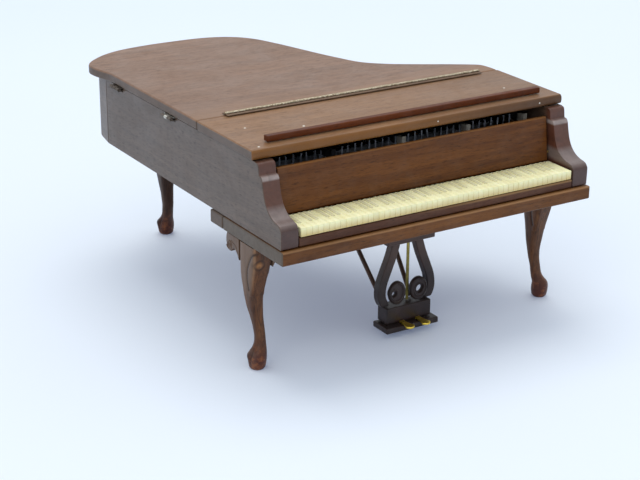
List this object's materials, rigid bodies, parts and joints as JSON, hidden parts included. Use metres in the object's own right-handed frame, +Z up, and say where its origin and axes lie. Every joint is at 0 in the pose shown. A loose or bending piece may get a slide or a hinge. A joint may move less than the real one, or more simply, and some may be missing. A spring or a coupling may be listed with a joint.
{
  "type": "miniature grand piano",
  "caption": "Dolls house grand piano in walnut with a folding front flap on a brass hinge, a hinged main lid, a moulded keyboard, cabriole legs and a scrolled pedal lyre.",
  "frame": {"origin": "centre of the bounding box at floor level, under the feet", "axes": "+X towards the treble side, +Y from the keyboard towards the tail, +Z up"},
  "size_m": [0.1188, 0.1428, 0.0742],
  "materials": {
    "bass_side": "walnut stain, satin",
    "bent_side": "walnut stain, satin",
    "bottom_board": "dark walnut stain, satin",
    "ear_bass_front": "walnut stain, satin",
    "ear_bass_side": "walnut stain, satin",
    "ear_rear_bass": "walnut stain, satin",
    "ear_rear_treble": "walnut stain, satin",
    "ear_treble_front": "walnut stain, satin",
    "ear_treble_side": "walnut stain, satin",
    "fallboard": "walnut stain, satin",
    "fallboard_pin_bass": "aged satin brass",
    "fallboard_pin_treble": "aged satin brass",
    "flap_hinge_flap_leaf": "aged satin brass",
    "flap_hinge_lid_leaf": "aged satin brass",
    "flap_hinge_pin": "aged satin brass",
    "front_flap": "walnut stain, satin",
    "harp_plate": "black paint",
    "key_bed": "walnut stain, satin",
    "key_slip": "dark walnut stain, satin",
    "keyboard": "cream, slightly glossy",
    "leg_bass": "walnut stain, satin",
    "leg_rail": "dark walnut stain, satin",
    "leg_rear": "walnut stain, satin",
    "leg_treble": "walnut stain, satin",
    "lid_prop": "walnut stain, satin",
    "lyre_base": "near-black stain, satin",
    "lyre_block": "near-black stain, satin",
    "lyre_brace_bass": "near-black stain, satin",
    "lyre_brace_treble": "near-black stain, satin",
    "lyre_foot_plate": "near-black stain, satin",
    "lyre_post_bass": "near-black stain, satin",
    "lyre_post_treble": "near-black stain, satin",
    "lyre_scroll_bass": "near-black stain, satin",
    "lyre_scroll_treble": "near-black stain, satin",
    "main_lid": "walnut stain, satin",
    "music_ledge": "dark walnut stain, satin",
    "pedal_bass": "aged satin brass",
    "pedal_rod": "aged satin brass",
    "pedal_treble": "aged satin brass",
    "pin_block": "dark walnut stain, satin",
    "prop_cup": "aged satin brass",
    "prop_pin": "aged satin brass",
    "soundboard": "bare softwood",
    "spine_hinge_front_case_leaf": "aged satin brass",
    "spine_hinge_front_lid_leaf": "aged satin brass",
    "spine_hinge_front_pin": "aged satin brass",
    "spine_hinge_rear_case_leaf": "aged satin brass",
    "spine_hinge_rear_lid_leaf": "aged satin brass",
    "spine_hinge_rear_pin": "aged satin brass",
    "strings": "bright wire",
    "strut_1": "black paint",
    "strut_2": "black paint",
    "strut_3": "black paint",
    "strut_4": "black paint",
    "tail_rim": "walnut stain, satin",
    "treble_side": "walnut stain, satin",
    "tuning_pins": "bright wire"
  },
  "bodies": {
    "case": {"bass_side": "bass_side", "bent_side": "bent_side", "bottom_board": "bottom_board", "ear_bass_front": "ear_bass_front", "ear_bass_side": "ear_bass_side", "ear_rear_bass": "ear_rear_bass", "ear_rear_treble": "ear_rear_treble", "ear_treble_front": "ear_treble_front", "ear_treble_side": "ear_treble_side", "harp_plate": "harp_plate", "key_bed": "key_bed", "key_slip": "key_slip", "keyboard": "keyboard", "leg_bass": "leg_bass", "leg_rail": "leg_rail", "leg_rear": "leg_rear", "leg_treble": "leg_treble", "lyre_base": "lyre_base", "lyre_block": "lyre_block", "lyre_brace_bass": "lyre_brace_bass", "lyre_brace_treble": "lyre_brace_treble", "lyre_foot_plate": "lyre_foot_plate", "lyre_post_bass": "lyre_post_bass", "lyre_post_treble": "lyre_post_treble", "lyre_scroll_bass": "lyre_scroll_bass", "lyre_scroll_treble": "lyre_scroll_treble", "pedal_bass": "pedal_bass", "pedal_rod": "pedal_rod", "pedal_treble": "pedal_treble", "pin_block": "pin_block", "prop_pin": "prop_pin", "soundboard": "soundboard", "spine_hinge_front_case_leaf": "spine_hinge_front_case_leaf", "spine_hinge_front_pin": "spine_hinge_front_pin", "spine_hinge_rear_case_leaf": "spine_hinge_rear_case_leaf", "spine_hinge_rear_pin": "spine_hinge_rear_pin", "strings": "strings", "strut_1": "strut_1", "strut_2": "strut_2", "strut_3": "strut_3", "strut_4": "strut_4", "tail_rim": "tail_rim", "treble_side": "treble_side", "tuning_pins": "tuning_pins"},
    "lid": {"main_lid": "main_lid", "spine_hinge_front_lid_leaf": "spine_hinge_front_lid_leaf", "spine_hinge_rear_lid_leaf": "spine_hinge_rear_lid_leaf", "flap_hinge_lid_leaf": "flap_hinge_lid_leaf", "flap_hinge_pin": "flap_hinge_pin", "prop_cup": "prop_cup"},
    "flap": {"front_flap": "front_flap", "music_ledge": "music_ledge", "flap_hinge_flap_leaf": "flap_hinge_flap_leaf"},
    "fallboard": {"fallboard": "fallboard", "fallboard_pin_bass": "fallboard_pin_bass", "fallboard_pin_treble": "fallboard_pin_treble"},
    "prop": {"lid_prop": "lid_prop"}
  },
  "joints": [
    {"name": "lid_hinge", "type": "hinge", "parent": "case", "child": "lid", "pos_m": [-0.05804, -0.00004, 0.06808], "axis": [0, -1, 0], "range_deg": [0, 16]},
    {"name": "flap_hinge", "type": "hinge", "parent": "lid", "child": "flap", "pos_m": [0.00096, -0.01944, 0.07272], "axis": [-1, 0, 0], "range_deg": [0, 175]},
    {"name": "fallboard_hinge", "type": "hinge", "parent": "case", "child": "fallboard", "pos_m": [0.00096, -0.05669, 0.0541], "axis": [1, 0, 0], "range_deg": [0, 97]},
    {"name": "prop_pivot", "type": "hinge", "parent": "case", "child": "prop", "pos_m": [0.04696, -0.01944, 0.0619], "axis": [-1, 0, 0], "range_deg": [0, 75]}
  ],
  "couplings": [
    {"joint": "prop_pivot", "follows": "lid_hinge", "ratio": 4.6875}
  ]
}
